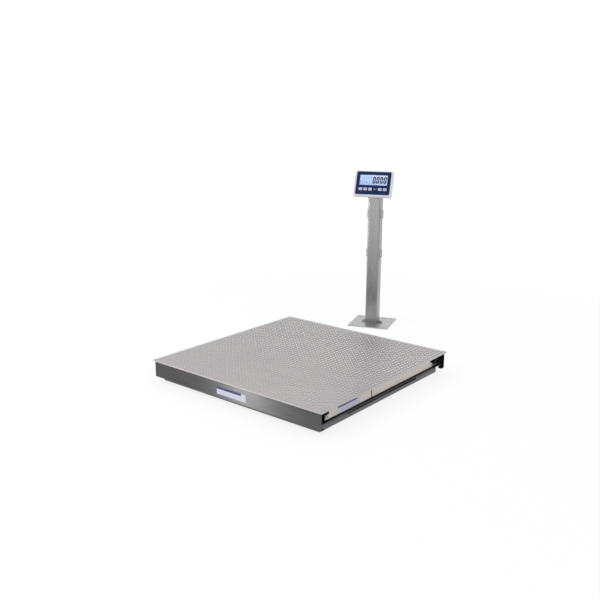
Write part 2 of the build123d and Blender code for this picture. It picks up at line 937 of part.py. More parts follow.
def column_bracket():
    """Cap plate welded on the column with two upright ears for the indicator."""
    low = column_top
    bracket = rounded_slab(column_size, column_size, column_corner, low, low + cap_thickness)
    inner = tilt_inner_spacing / 2 + tilt_ear_thickness + tilt_ear_gap
    for side in (-1, 1):
        near = side * inner
        far = side * (inner + tilt_ear_thickness)
        ear = block(
            near,
            far,
            tilt_axis_back - tilt_ear_radius,
            tilt_axis_back + tilt_ear_radius,
            low + cap_thickness / 2,
            tilt_height(),
        )
        ear += rod_along_x(tilt_ear_radius, near, far, tilt_axis_back, tilt_height())
        bore = tilt_bolt_radius + seat_clearance
        ear -= rod_along_x(bore, near - side, far + side, tilt_axis_back, tilt_height())
        bracket += ear
    return bracket


def tilt_knobs():
    """Lobed knobs on shouldered screws that clamp the indicator's bracket."""
    knobs = []
    seat = tilt_inner_spacing / 2 + 2 * tilt_ear_thickness + tilt_ear_gap
    grip = rod(tilt_knob_radius, 0, tilt_knob_height)
    for index in range(tilt_lobes):
        groove = rod(tilt_groove_radius, -1, tilt_knob_height + 1, tilt_knob_radius + tilt_groove_offset, 0)
        grip -= Rot(0, 0, index * 360 / tilt_lobes) * groove
    grip = grip + rod(tilt_bolt_radius, -(2 * tilt_ear_thickness + tilt_ear_gap), 0)
    for side in (-1, 1):
        knobs.append(Pos(side * seat, tilt_axis_back, tilt_height()) * Rot(0, side * 90, 0) * grip)
    return knobs


def front_housing():
    """Shallow drawn shell: recessed front for the membrane, window opening and key pockets."""
    shell = rounded_slab(head_width, head_height, bezel_corner, -bezel_depth, 0)
    shell = fillet(shell.edges().group_by(Axis.Z)[-1], bezel_edge)
    shell -= rounded_slab(
        head_width - 2 * shell_wall,
        head_height - 2 * shell_wall,
        bezel_corner - shell_wall,
        -bezel_depth - 1,
        -front_wall,
    )
    shell -= Pos(0, membrane_rise, 0) * rounded_slab(
        membrane_width + 2 * seat_clearance,
        membrane_height + 2 * seat_clearance,
        membrane_corner,
        -membrane_thickness,
        1,
    )
    shell -= Pos(0, window_rise, 0) * block(
        -window_width / 2, window_width / 2, -window_height / 2, window_height / 2, -front_wall - 1, 1
    )
    pocket_floor = -membrane_thickness - key_sink - key_travel_room
    for x in key_places():
        shell -= Pos(x, -key_drop, 0) * rounded_slab(
            key_width + 2 * key_clearance, key_height + 2 * key_clearance, key_corner, pocket_floor, 0
        )
    return shell


def key_places():
    count = len(key_names)
    return [(index - (count - 1) / 2) * key_pitch for index in range(count)]


def membrane_panel():
    """Printed front foil with openings for the window and the keys."""
    foil = rounded_slab(membrane_width, membrane_height, membrane_corner, -membrane_thickness, 0)
    foil = Pos(0, membrane_rise, 0) * foil
    foil -= Pos(0, window_rise, 0) * block(
        -window_width / 2,
        window_width / 2,
        -window_height / 2,
        window_height / 2,
        -membrane_thickness - 1,
        1,
    )
    for x in key_places():
        foil -= Pos(x, -key_drop, 0) * rounded_slab(
            key_width + 2 * key_clearance,
            key_height + 2 * key_clearance,
            key_corner,
            -membrane_thickness - 1,
            1,
        )
    return foil


def key(x):
    """Key cap that stands a little proud of the foil and dips into its pocket."""
    low = -membrane_thickness - key_sink
    cap = rounded_slab(key_width, key_height, key_corner - key_clearance, low, key_proud)
    cap = fillet(cap.edges().group_by(Axis.Z)[-1], key_proud / 2)
    return Pos(x, -key_drop, 0) * cap


def display_window():
    """Clear plate in the window opening, flush with the back of the foil."""
    edge = seat_clearance
    low = -membrane_thickness - window_thickness
    return Pos(0, window_rise, 0) * block(
        -window_width / 2 + edge,
        window_width / 2 - edge,
        -window_height / 2 + edge,
        window_height / 2 - edge,
        low,
        -membrane_thickness,
    )


def display_module():
    """Liquid crystal module against the back of the front wall, with a raised glass."""
    half_w = window_width / 2 + display_margin
    half_h = window_height / 2 + display_margin
    module = block(-half_w, half_w, -half_h, half_h, -front_wall - display_thickness, -front_wall)
    glass = block(
        -window_width / 2 + display_glass_margin,
        window_width / 2 - display_glass_margin,
        -window_height / 2 + display_glass_margin,
        window_height / 2 - display_glass_margin,
        -front_wall,
        -membrane_thickness - window_thickness,
    )
    return Pos(0, window_rise, 0) * (module + glass)


def main_board():
    """Main circuit board behind the display, with a row of chips and a supply module on its back."""
    top = -front_wall - display_thickness
    low = top - board_thickness
    board = block(
        -main_board_width / 2, main_board_width / 2, -main_board_height / 2, main_board_height / 2, low, top
    )
    for index in range(chip_count):
        chip = Box(chip_size, chip_size, chip_height)
        board += Pos((index - (chip_count - 1) / 2) * chip_spacing, chip_rise, low - chip_height / 2) * chip
    supply = Box(supply_length, supply_width, supply_height)
    return board + Pos(0, -chip_rise, low - supply_height / 2) * supply


def rear_cover():
    """Rear tub with sloping sides and a flange that closes the front shell."""
    flange_back = -bezel_depth - cover_flange
    back = -bezel_depth - tub_depth
    cover = rounded_slab(head_width, head_height, bezel_corner, flange_back, -bezel_depth)
    wide = Pos(0, 0, flange_back) * RectangleRounded(tub_width, tub_height, tub_corner)
    narrow = Pos(0, 0, back) * RectangleRounded(
        tub_width - 2 * tub_taper, tub_height - 2 * tub_taper, tub_corner
    )
    cover += loft([wide, narrow])
    inner_wide = Pos(0, 0, -bezel_depth + 1) * RectangleRounded(
        tub_width - 2 * shell_wall, tub_height - 2 * shell_wall, tub_corner - shell_wall
    )
    inner_narrow = Pos(0, 0, back + shell_wall) * RectangleRounded(
        tub_width - 2 * (tub_taper + shell_wall),
        tub_height - 2 * (tub_taper + shell_wall),
        tub_corner - shell_wall,
    )
    cover -= loft([inner_wide, inner_narrow])
    boss_radius = head_gland_radius + head_gland_boss_wall
    boss_end = -tub_height / 2 - head_gland_boss
    inside = -tub_height / 2 + tub_taper + shell_wall
    for x in head_gland_places():
        cover += rod_along_y(boss_radius, boss_end, inside, x, head_gland_depth())
        cover -= rod_along_y(head_gland_neck_radius, boss_end - 1, inside + 1, x, head_gland_depth())
    for x, y in cover_screw_places():
        cover -= rod(cover_screw_radius + seat_clearance, flange_back - 1, -bezel_depth + 1, x, y)
    return cover


def cover_screw_places():
    dx = head_width / 2 - cover_screw_inset
    dy = head_height / 2 - cover_screw_inset
    return [(sx * dx, sy * dy) for sx in (-1, 1) for sy in (-1, 0, 1)]


def rear_cover_screws():
    screws = []
    face = -bezel_depth - cover_flange
    for x, y in cover_screw_places():
        shank = rod(cover_screw_radius, face, -bezel_depth + cover_screw_reach, x, y)
        head = rod(cover_screw_head_radius, face - cover_screw_head_height, face, x, y)
        screws.append(shank + head)
    return screws


def tilt_in_head():
    """The tilt axis seen in the head's own plane: height along the face and depth behind it."""
    dy = tilt_axis_back - head_centre_y
    dz = tilt_height() - head_centre_z
    along = dy * math.sin(lean) + dz * math.cos(lean)
    out = -dy * math.cos(lean) + dz * math.sin(lean)
    return along, out


def indicator_bracket():
    """Plate on the rear cover with two ears that turn on the knobs' shoulders."""
    along, out = tilt_in_head()
    face = -bezel_depth - tub_depth
    plate = rounded_slab(
        head_plate_width, head_plate_height, tub_corner, face - head_plate_thickness, face
    )
    for side in (-1, 1):
        near = side * tilt_inner_spacing / 2
        far = side * (tilt_inner_spacing / 2 + tilt_ear_thickness)
        ear = block(
            near,
            far,
            along - tilt_ear_radius,
            along + tilt_ear_radius,
            out,
            face - head_plate_thickness / 2,
        )
        ear += rod_along_x(tilt_ear_radius, near, far, along, out)
        ear -= rod_along_x(tilt_bolt_radius + running_clearance, near - side, far + side, along, out)
        plate += ear
    return plate


def head_gland_places():
    return [-head_gland_spacing / 2, head_gland_spacing / 2]


def head_gland_depth():
    return -bezel_depth - tub_depth / 2


def indicator_glands():
    """Two cable glands with blanking plugs that screw into bosses under the rear tub."""
    glands = []
    seat = -tub_height / 2 - head_gland_boss
    inside = -tub_height / 2 + tub_taper + shell_wall
    depth = head_gland_depth()
    for x in head_gland_places():
        nut = rod_along_y(head_gland_radius, seat - head_gland_length, seat, x, depth)
        neck = rod_along_y(head_gland_neck_radius - seat_clearance, seat, inside, x, depth)
        glands.append(nut + neck)
    return glands


os.makedirs("parts", exist_ok=True)

save("deck_plate", [deck_plate()], platform_place)
save("front_skirt", [mirrored_in_y(skirt())], platform_place)
save("rear_skirt", [rear_skirt()], platform_place)
save("right_side_beam", [side_beam()], platform_place)
save("left_side_beam", [mirrored_in_x(side_beam())], platform_place)
save("right_side_panels", side_panels(), platform_place)
save("left_side_panels", [mirrored_in_x(panel) for panel in side_panels()], platform_place)
save("deck_ribs", deck_ribs(), platform_place)
save("bearing_plates", bearing_plates(), platform_place)
save("rear_rail", [rear_rail()], platform_place)
save("front_rail", [mirrored_in_y(rear_rail())], platform_place)
save("side_rails", [right_rail(), mirrored_in_x(right_rail())], platform_place)
save("cross_members", cross_members(), platform_place)
save("corner_plates", corner_plates(), platform_place)
corner_names = ["rear_right", "rear_left", "front_right", "front_left"]
for corner_name, cell in zip(corner_names, four_corners(load_cell())):
    save(f"{corner_name}_load_cell", [cell], platform_place)
for corner_name, foot in zip(corner_names, four_corners(levelling_foot())):
    save(f"{corner_name}_foot", [foot], platform_place)
save("load_cell_bolts", cell_bolts(), platform_place)
save("load_buttons", load_buttons(), platform_place)
save("hinge_ears", hinge_ears(hinge_x) + hinge_ears(-hinge_x), platform_place)
save("hinge_pins", [hinge_pin(), mirrored_in_x(hinge_pin())], platform_place)
save("hinge_arms", [hinge_arm(), mirrored_in_x(hinge_arm())], platform_place)
save("hinge_arm_bolts", arm_bolts(), platform_place)
spring_sides = (spring_x, -spring_x)
for side_name, offset in zip(("right", "left"), spring_sides):
    save(f"{side_name}_spring_cylinder", [spring_cylinder(offset)], platform_place)
    save(f"{side_name}_spring_rod", [spring_rod(offset)], platform_place)
save("spring_base_lugs", [spring_base_lug(offset) for offset in spring_sides], platform_place)
save("spring_deck_lugs", [spring_deck_lug(offset) for offset in spring_sides], platform_place)
save("junction_box", [junction_box()], platform_place)
save("junction_box_lid", [junction_box_lid()], platform_place)
save("junction_box_screws", junction_box_screws(), platform_place)
save("junction_box_glands", junction_box_glands(), platform_place)
save("summing_board", [summing_board()], platform_place)
save("stand_base_plate", [stand_base_plate()], stand_place)
save("column", [column()], stand_place)
save("column_bolts", column_bolts(), stand_place)
save("cable_hooks", cable_hooks(), stand_place)
save("column_bracket", [column_bracket()], stand_place)
save("tilt_knobs", tilt_knobs(), stand_place)
save("front_housing", [front_housing()], head_place)
save("membrane_panel", [membrane_panel()], head_place)
save("display_window", [display_window()], head_place)
save("display_module", [display_module()], head_place)
save("main_board", [main_board()], head_place)
save("rear_cover", [rear_cover()], head_place)
save("rear_cover_screws", rear_cover_screws(), head_place)
save("indicator_bracket", [indicator_bracket()], head_place)
save("indicator_glands", indicator_glands(), head_place)
for key_name, key_x in zip(key_names, key_places()):
    save(key_name, [key(key_x)], head_place)
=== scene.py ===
import math
import random

import bpy
from mathutils import Matrix, Vector


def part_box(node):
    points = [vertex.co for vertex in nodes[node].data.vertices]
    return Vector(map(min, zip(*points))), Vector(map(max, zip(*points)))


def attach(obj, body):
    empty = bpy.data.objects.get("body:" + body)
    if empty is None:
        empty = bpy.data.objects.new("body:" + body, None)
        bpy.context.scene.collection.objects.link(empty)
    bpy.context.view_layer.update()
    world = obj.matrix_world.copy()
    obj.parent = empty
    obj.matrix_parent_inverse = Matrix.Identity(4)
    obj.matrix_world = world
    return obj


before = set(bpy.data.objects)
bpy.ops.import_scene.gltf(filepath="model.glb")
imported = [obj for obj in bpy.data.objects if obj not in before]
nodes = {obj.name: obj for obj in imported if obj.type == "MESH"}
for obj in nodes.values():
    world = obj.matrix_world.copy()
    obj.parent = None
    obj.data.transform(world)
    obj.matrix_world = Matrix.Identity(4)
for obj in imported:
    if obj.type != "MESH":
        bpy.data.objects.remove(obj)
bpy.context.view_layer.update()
scene = bpy.context.scene
scene.view_settings.view_transform = "Standard"
random.seed(3062)

# Camera, at the photograph's viewing angle: it stands in front and to the right of the platform, a little
# above eye height. Its place and focal length come from fitting the deck's corners and the stand's foot.
photo_width_px = 600
focal_px = 752.5
camera_place = Vector((2.6878, -3.7370, 1.5637))
camera_yaw = math.radians(-39.16)
camera_pitch = math.radians(14.29)
camera_roll = math.radians(0.30)

camera = bpy.data.objects.new("camera", bpy.data.cameras.new("camera"))
scene.collection.objects.link(camera)
scene.camera = camera
camera.data.sensor_width = 36.0
camera.data.lens = camera.data.sensor_width * focal_px / photo_width_px
forward = Vector((
    math.sin(camera_yaw) * math.cos(camera_pitch),
    math.cos(camera_yaw) * math.cos(camera_pitch),
    -math.sin(camera_pitch),
))
level_right = Vector((math.cos(camera_yaw), -math.sin(camera_yaw), 0.0))
level_up = level_right.cross(forward)
right = level_right * math.cos(camera_roll) + level_up * math.sin(camera_roll)
up = level_up * math.cos(camera_roll) - level_right * math.sin(camera_roll)
turn = Matrix((right, up, -forward)).transposed()
camera.matrix_world = Matrix.Translation(camera_place) @ turn.to_4x4()


def linear(code):
    """An sRGB colour, written as six hex digits, as the linear colour that the shader wants."""
    parts = [int(code[i:i + 2], 16) / 255 for i in (0, 2, 4)]
    return tuple(p / 12.92 if p <= 0.04045 else ((p + 0.055) / 1.055) ** 2.4 for p in parts) + (1.0,)


def add(tree, kind, sockets=None, **settings):
    """Adds one node, sets its settings, and fills or links its input sockets."""
    node = tree.nodes.new(kind)
    for name, value in settings.items():
        setattr(node, name, value)
    for name, value in (sockets or {}).items():
        if isinstance(value, bpy.types.NodeSocket):
            tree.links.new(value, node.inputs[name])
        else:
            node.inputs[name].default_value = value
    return node


def finds_backdrop(tree):
    """1 for what is seen directly, in a reflection or through glass, and 0 for the light on matt surfaces."""
    path = add(tree, "ShaderNodeLightPath")
    mirrored = add(tree, "ShaderNodeMath", {
        0: path.outputs["Is Camera Ray"], 1: path.outputs["Is Glossy Ray"],
    }, operation="MAXIMUM")
    any_of_them = add(tree, "ShaderNodeMath", {
        0: mirrored.outputs[0], 1: path.outputs["Is Transmission Ray"],
    }, operation="MAXIMUM")
    return any_of_them.outputs[0]


# Studio surround: plain white to look at, and in what the metal reflects. The light that it throws on matt
# surfaces is a little weaker near the horizon, as in a room whose ceiling is lit.
studio_white = "ffffff"
horizon_light = "d6d6d8"
surround = bpy.data.worlds.new("studio_surround")
scene.world = surround
surround.use_nodes = True
sky = surround.node_tree
sky.nodes.clear()
direction = add(sky, "ShaderNodeTexCoord")
split = add(sky, "ShaderNodeSeparateXYZ", {0: direction.outputs["Generated"]})
height = add(sky, "ShaderNodeMapRange", {
    "Value": split.outputs["Z"], "From Min": 0.0, "From Max": 0.6,
}, interpolation_type="SMOOTHSTEP")
room_light = add(sky, "ShaderNodeMix", {
    "Factor": height.outputs[0], "A": linear(horizon_light), "B": linear(studio_white),
}, data_type="RGBA")
backdrop = add(sky, "ShaderNodeMix", {
    "Factor": finds_backdrop(sky), "A": room_light.outputs["Result"], "B": linear(studio_white),
}, data_type="RGBA")
glow = add(sky, "ShaderNodeBackground", {"Color": backdrop.outputs["Result"], "Strength": 1.0})
add(sky, "ShaderNodeOutputWorld", {"Surface": glow.outputs[0]})

# Studio lamps: a broad soft box high on the left in front and a weaker one on the right. A tall narrow one low
# on the left draws the bright upright band in the front skirt, and a weak one in front lifts the column's face.
# These two show in shiny surfaces only, and add nothing to the light on matt ones.
lamps = (
    ("key_softbox", (-2.4, -3.2, 3.2), (0.0, 0.0, 0.2), (1.8, 1.8), 40.0),
    ("fill_softbox", (4.0, -0.6, 2.4), (0.0, 0.0, 0.2), (1.4, 1.4), 4.0),
    ("strip_light", (-1.43, -2.87, 0.50), (0.14, -1.02, 0.08), (0.10, 0.9), 27.0),
    ("column_light", (-0.25, -3.0, 0.45), (-0.34, 0.43, 0.6), (0.5, 0.9), 1.8),
)
for lamp_name, place, aim, (across, tall), power in lamps:
    lamp = bpy.data.objects.new(lamp_name, bpy.data.lights.new(lamp_name, "AREA"))
    scene.collection.objects.link(lamp)
    lamp.data.shape = "RECTANGLE"
    lamp.data.size = across
    lamp.data.size_y = tall
    lamp.data.energy = power
    lamp.location = place
    lamp.rotation_euler = (Vector(aim) - Vector(place)).to_track_quat("-Z", "Y").to_euler()
    lamp.visible_camera = False
    lamp.visible_diffuse = across > 1


def new_finish(name):
    """A new material's nodes, and the place on the object, in metres, that its patterns are worked out from."""
    material = bpy.data.materials.new(name)
    material.use_nodes = True
    material.node_tree.nodes.clear()
    return material, material.node_tree, add(material.node_tree, "ShaderNodeTexCoord").outputs["Object"]


# Studio floor: matt white paper, with the unevenness of its pulp. It keeps a soft shadow near the object and
# runs out into the white of the surround further away.
floor_reach = 12.0
shadow_reach = 1.9
shadow_fade = 1.2
shadow_share = 0.18
paper_cloud = 0.5
paper, tree, place = new_finish("matt_white_paper")
clouds = add(tree, "ShaderNodeTexNoise", {"Vector": place, "Scale": 1 / paper_cloud, "Detail": 2.0})
colour = add(tree, "ShaderNodeMix", {
    "Factor": clouds.outputs["Fac"], "A": linear("f4f4f4"), "B": linear("f8f8f8"),
}, data_type="RGBA")
matt = add(tree, "ShaderNodeBsdfDiffuse", {"Color": colour.outputs["Result"]})
reach = add(tree, "ShaderNodeVectorMath", {0: place}, operation="LENGTH")
away = add(tree, "ShaderNodeMapRange", {
    "Value": reach.outputs["Value"], "From Min": shadow_reach, "From Max": shadow_reach + shadow_fade,
    "To Min": 1.0 - shadow_share, "To Max": 1.0,
}, interpolation_type="SMOOTHSTEP")
white_share = add(tree, "ShaderNodeMath", {0: away.outputs[0], 1: finds_backdrop(tree)}, operation="MULTIPLY")
white = add(tree, "ShaderNodeEmission", {"Color": linear(studio_white), "Strength": 1.0})
mixed = add(tree, "ShaderNodeMixShader", {0: white_share.outputs[0], 1: matt.outputs[0], 2: white.outputs[0]})
add(tree, "ShaderNodeOutputMaterial", {"Surface": mixed.outputs[0]})
floor_mesh = bpy.data.meshes.new("studio_floor")
floor_mesh.from_pydata([
    (-floor_reach, -floor_reach, 0), (floor_reach, -floor_reach, 0),
    (floor_reach, floor_reach, 0), (-floor_reach, floor_reach, 0),
], [], [(0, 1, 2, 3)])
floor_mesh.materials.append(paper)
studio_floor = bpy.data.objects.new("studio_floor", floor_mesh)
scene.collection.objects.link(studio_floor)


def dress(material, *names):
    """Gives carried-over pieces their material."""
    for name in names:
        nodes[name].data.materials.clear()
        nodes[name].data.materials.append(material)


def new_piece(name, verts, faces, materials, body, picks=(), smooth=False):
    """A new mesh piece that rides on a body and takes the finishes given."""
    mesh = bpy.data.meshes.new(name)
    mesh.from_pydata(verts, [], faces)
    for material in materials:
        mesh.materials.append(material)
    for polygon, pick in zip(mesh.polygons, picks):
        polygon.material_index = pick
    if smooth:
        mesh.shade_smooth()
    piece = bpy.data.objects.new(name, mesh)
    scene.collection.objects.link(piece)
    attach(piece, body)


# Deck plate: 6 mm stainless tread plate, pickled after welding. Pickling leaves an even satin grey, the
# rolls leave faint streaks along the sheet, and feet and pallets dull it in soft patches.
roll_streak = 0.18
roll_spacing = 0.016
worn_patch = 0.35
pickled_grain = 0.0012
deck_low, deck_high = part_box("deck_plate")
tread_steel, tree, place = new_finish("pickled_tread_plate")
stretched = add(tree, "ShaderNodeMapping", {
    "Vector": place, "Scale": (1 / roll_streak, 1 / roll_spacing, 1 / roll_spacing),
})
streaks = add(tree, "ShaderNodeTexNoise", {"Vector": stretched.outputs[0], "Scale": 1.0, "Detail": 4.0})
patches = add(tree, "ShaderNodeTexNoise", {"Vector": place, "Scale": 1 / worn_patch, "Detail": 3.0})
blend = add(tree, "ShaderNodeMix", {
    "Factor": 0.4, "A": patches.outputs["Fac"], "B": streaks.outputs["Fac"],
}, data_type="FLOAT")
colour = add(tree, "ShaderNodeMix", {
    "Factor": blend.outputs["Result"], "A": linear("a29b9d"), "B": linear("cac7c7"),
}, data_type="RGBA")
satin = add(tree, "ShaderNodeMix", {"Factor": patches.outputs["Fac"], "A": 0.34, "B": 0.5}, data_type="FLOAT")
grain = add(tree, "ShaderNodeTexNoise", {"Vector": place, "Scale": 1 / pickled_grain, "Detail": 2.0})
bump = add(tree, "ShaderNodeBump", {"Height": grain.outputs["Fac"], "Strength": 0.25, "Distance": 0.0004})
steel = add(tree, "ShaderNodeBsdfPrincipled", {
    "Base Color": colour.outputs["Result"], "Metallic": 1.0, "Roughness": satin.outputs["Result"],
    "Normal": bump.outputs[0],
})
add(tree, "ShaderNodeOutputMaterial", {"Surface": steel.outputs[0]})
dress(tread_steel, "deck_plate")

# Deck tears: the tread plate's raised lugs, rolled up from the sheet in two slants that take turns, so that
# they repeat every 51 mm. Their crests carry a painted highlight, painted shade darkens their flanks and a
# narrow ring round their feet, and near the deck's front edge both fade towards the grey of the plate.
tear_pitch = 0.0255
tear_length = 0.0225
tear_width = 0.0095
tear_height = 0.0019
tear_slant = math.radians(45)
tear_edge_margin = 0.012
tear_points = 6
dirt_reach = 0.0014
dirt_level = 0.00006
worn_reach = 1.0
scuff_size = 0.0025
deck_middle = (deck_low + deck_high) / 2


def tear_ring(length, width, level):
    """One ring of points of a tear in its own frame: a pointed oval at a height."""
    ring = []
    for step in range(2 * tear_points):
        angle = math.pi * step / tear_points
        pointed = math.sin(angle) * abs(math.sin(angle)) ** 0.35
        ring.append(Vector((math.cos(angle) * length / 2, pointed * width / 2, level)))
    return ring


# The lower two bands of each tear, from its foot ring up, take the painted shade, and its top the painted highlight.
rings = [
    tear_ring(tear_length + 2 * dirt_reach, tear_width + 2 * dirt_reach, dirt_level),
    tear_ring(tear_length, tear_width, 2 * dirt_level),
    tear_ring(0.84 * tear_length, 0.74 * tear_width, 0.75 * tear_height),
    tear_ring(0.5 * tear_length, 0.4 * tear_width, tear_height),
]
flank_count = 2
ring_size = 2 * tear_points
count_x = int((deck_high.x - deck_low.x - 2 * tear_edge_margin) / tear_pitch)
count_y = int((deck_high.y - deck_low.y - 2 * tear_edge_margin) / tear_pitch)
verts = []
faces = []
picks = []
for row in range(count_y):
    for column in range(count_x):
        slant = Matrix.Rotation(tear_slant if (row + column) % 2 else -tear_slant, 3, "Z")
        centre = Vector((
            deck_middle.x + (column - (count_x - 1) / 2) * tear_pitch,
            deck_middle.y + (row - (count_y - 1) / 2) * tear_pitch,
            deck_high.z,
        ))
        first = len(verts)
        for ring in rings:
            verts += [slant @ point + centre for point in ring]
        for level in range(len(rings) - 1):
            for step in range(ring_size):
                after = (step + 1) % ring_size
                low = first + level * ring_size
                high = low + ring_size
                faces.append((low + step, low + after, high + after, high + step))
                picks.append(1 if level < flank_count else 0)
        top = first + (len(rings) - 1) * ring_size
        faces.append(tuple(top + step for step in range(ring_size)))
        faces.append(tuple(first + step for step in reversed(range(ring_size))))
        picks += [0, 1]


def tear_steel(name, worn, fresh, smooth, rough):
    """The tears' steel: painted light further back, fading to the plate's grey near the deck's front edge."""
    material, tree, place = new_finish(name)
    split = add(tree, "ShaderNodeSeparateXYZ", {0: place})
    # Painted light holds further back and fades to plain grey near the front edge, unevenly in patches.
    back = add(tree, "ShaderNodeMapRange", {
        "Value": split.outputs["Y"], "From Min": deck_low.y, "From Max": deck_low.y + worn_reach,
    }, interpolation_type="SMOOTHSTEP")
    patches = add(tree, "ShaderNodeTexNoise", {"Vector": place, "Scale": 1 / worn_patch, "Detail": 3.0})
    uneven = add(tree, "ShaderNodeMath", {
        0: patches.outputs["Fac"], 1: 0.6, 2: -0.3,
    }, operation="MULTIPLY_ADD")
    wear = add(tree, "ShaderNodeMath", {0: back.outputs[0], 1: uneven.outputs[0]}, use_clamp=True)
    colour = add(tree, "ShaderNodeMix", {
        "Factor": wear.outputs[0], "A": linear(worn), "B": linear(fresh),
    }, data_type="RGBA")
    scuffs = add(tree, "ShaderNodeTexNoise", {"Vector": place, "Scale": 1 / scuff_size, "Detail": 2.0})
    gloss = add(tree, "ShaderNodeMix", {"Factor": scuffs.outputs["Fac"], "A": smooth, "B": rough}, data_type="FLOAT")
    steel = add(tree, "ShaderNodeBsdfPrincipled", {
        "Base Color": colour.outputs["Result"], "Metallic": 1.0, "Roughness": gloss.outputs["Result"],
    })
    add(tree, "ShaderNodeOutputMaterial", {"Surface": steel.outputs[0]})
    return material


# Painted highlight for the crests and painted shade for the flanks and feet, as colours of the steel.
rubbed_crests = tear_steel("tear_crests_painted_highlight", "c4c1c2", "faf7f8", 0.2, 0.46)
dirty_flanks = tear_steel("tear_flanks_painted_shade", "aeabac", "645f5f", 0.4, 0.65)
new_piece("deck_tears", verts, faces, (rubbed_crests, dirty_flanks), "deck", picks, smooth=True)


def brushed_stainless(name, dark, light, along, roughness=0.34, streak=0.25, line=0.0011, smear=0.0):
    """Stainless that a belt has brushed along one axis: fine lines, long soft streaks, and reflections that
    smear across the lines. A belt's lines are some 0.1 mm apart, and are drawn 1.1 mm apart so that they show."""
    material, tree, place = new_finish(name)
    axis = "XYZ".index(along)
    line_scale = [1 / line] * 3
    line_scale[axis] = 1 / (line * 90)
    streak_scale = [1 / 0.035] * 3
    streak_scale[axis] = 1 / streak
    line_place = add(tree, "ShaderNodeMapping", {"Vector": place, "Scale": line_scale})
    streak_place = add(tree, "ShaderNodeMapping", {"Vector": place, "Scale": streak_scale})
    lines = add(tree, "ShaderNodeTexNoise", {"Vector": line_place.outputs[0], "Scale": 1.0, "Detail": 2.0})
    streaks = add(tree, "ShaderNodeTexNoise", {"Vector": streak_place.outputs[0], "Scale": 1.0, "Detail": 3.0})
    blend = add(tree, "ShaderNodeMix", {
        "Factor": 0.45, "A": streaks.outputs["Fac"], "B": lines.outputs["Fac"],
    }, data_type="FLOAT")
    colour = add(tree, "ShaderNodeMix", {
        "Factor": blend.outputs["Result"], "A": linear(dark), "B": linear(light),
    }, data_type="RGBA")
    gloss = add(tree, "ShaderNodeMix", {
        "Factor": lines.outputs["Fac"], "A": roughness - 0.1, "B": roughness + 0.1,
    }, data_type="FLOAT")
    bump = add(tree, "ShaderNodeBump", {"Height": lines.outputs["Fac"], "Strength": 0.2, "Distance": 0.0003})
    steel = add(tree, "ShaderNodeBsdfPrincipled", {
        "Base Color": colour.outputs["Result"], "Metallic": 1.0, "Roughness": gloss.outputs["Result"],
        "Anisotropic": smear, "Anisotropic Rotation": 0.0 if along == "Z" else 0.25, "Normal": bump.outputs[0],
    })
    add(tree, "ShaderNodeOutputMaterial", {"Surface": steel.outputs[0]})
    return material


# Skirts: 4 mm stainless sheet bent to a lip at the foot and welded under the deck. The long faces were
# brushed lengthwise, which draws the room's reflections out into upright bands. Their dark grey is a
# painted reflection of dark surroundings, darker than the steel itself.
skirt_steel = brushed_stainless("skirt_sheet_painted_dark", "464646", "646464", "X", roughness=0.35, smear=0.97)
dress(skirt_steel, "front_skirt", "rear_skirt")

# Side beams: the same sheet, set back under the deck's edge. The web lies in the shade, and the flange
# along its foot catches the light. Their colour is darker still than the skirts', as painted shade.
beam_steel = brushed_stainless("beam_sheet_painted_shade", "3c3c3f", "5e5e61", "Y")
dress(beam_steel, "right_side_beam", "left_side_beam")

# Side panels: thin brushed covers on the beams, brighter and a little warmer than the skirts, each with a
# rounded, drilled tab at its free end.
panel_steel = brushed_stainless("brushed_cover_panel", "a8a39c", "d2cdc5", "Y")
dress(panel_steel, "right_side_panels", "left_side_panels")


def rounded(width, height, corner, middle_x=0.0, middle_y=0.0):
    """The outline of a rectangle with rounded corners, counter-clockwise."""
    points = []
    for side_x, side_y, start in ((1, 1, 0), (-1, 1, 90), (-1, -1, 180), (1, -1, 270)):
        for step in range(5):
            angle = math.radians(start + 90 * step / 4)
            points.append((
                middle_x + side_x * (width / 2 - corner) + corner * math.cos(angle),
                middle_y + side_y * (height / 2 - corner) + corner * math.sin(angle),
            ))
    return points


def lay_shapes(name, outlines, face, thickness, material, body):
    """Flat shapes laid on a face, each given as a counter-clockwise outline across and up from its middle."""
    centre, across, up = face
    out = across.cross(up)
    verts = []
    faces = []
    for points in outlines:
        size = len(points)
        first = len(verts)
        for level in (0.0, thickness):
            verts += [centre + across * x + up * y + out * level for x, y in points]
        faces.append(tuple(first + size + step for step in range(size)))
        faces.append(tuple(first + step for step in reversed(range(size))))
        faces += [
            (first + step, first + (step + 1) % size, first + size + (step + 1) % size, first + size + step)
            for step in range(size)
        ]
    new_piece(name, verts, faces, (material,), body)


def printed_film(name, dark, light, roughness=0.45, cloud=0.0011, glow=0.0):
    """Plastic film or the ink printed on it: an even colour, barely clouded, that may be lit from behind."""
    material, tree, place = new_finish(name)
    clouds = add(tree, "ShaderNodeTexNoise", {"Vector": place, "Scale": 1 / cloud, "Detail": 2.0})
    colour = add(tree, "ShaderNodeMix", {
        "Factor": clouds.outputs["Fac"], "A": linear(dark), "B": linear(light),
    }, data_type="RGBA")
    bump = add(tree, "ShaderNodeBump", {"Height": clouds.outputs["Fac"], "Strength": 0.1, "Distance": 0.0002})
    film = add(tree, "ShaderNodeBsdfPrincipled", {
        "Base Color": colour.outputs["Result"], "Roughness": roughness, "Normal": bump.outputs[0],
        "Emission Color": colour.outputs["Result"], "Emission Strength": glow,
    })
    add(tree, "ShaderNodeOutputMaterial", {"Surface": film.outputs[0]})
    return material
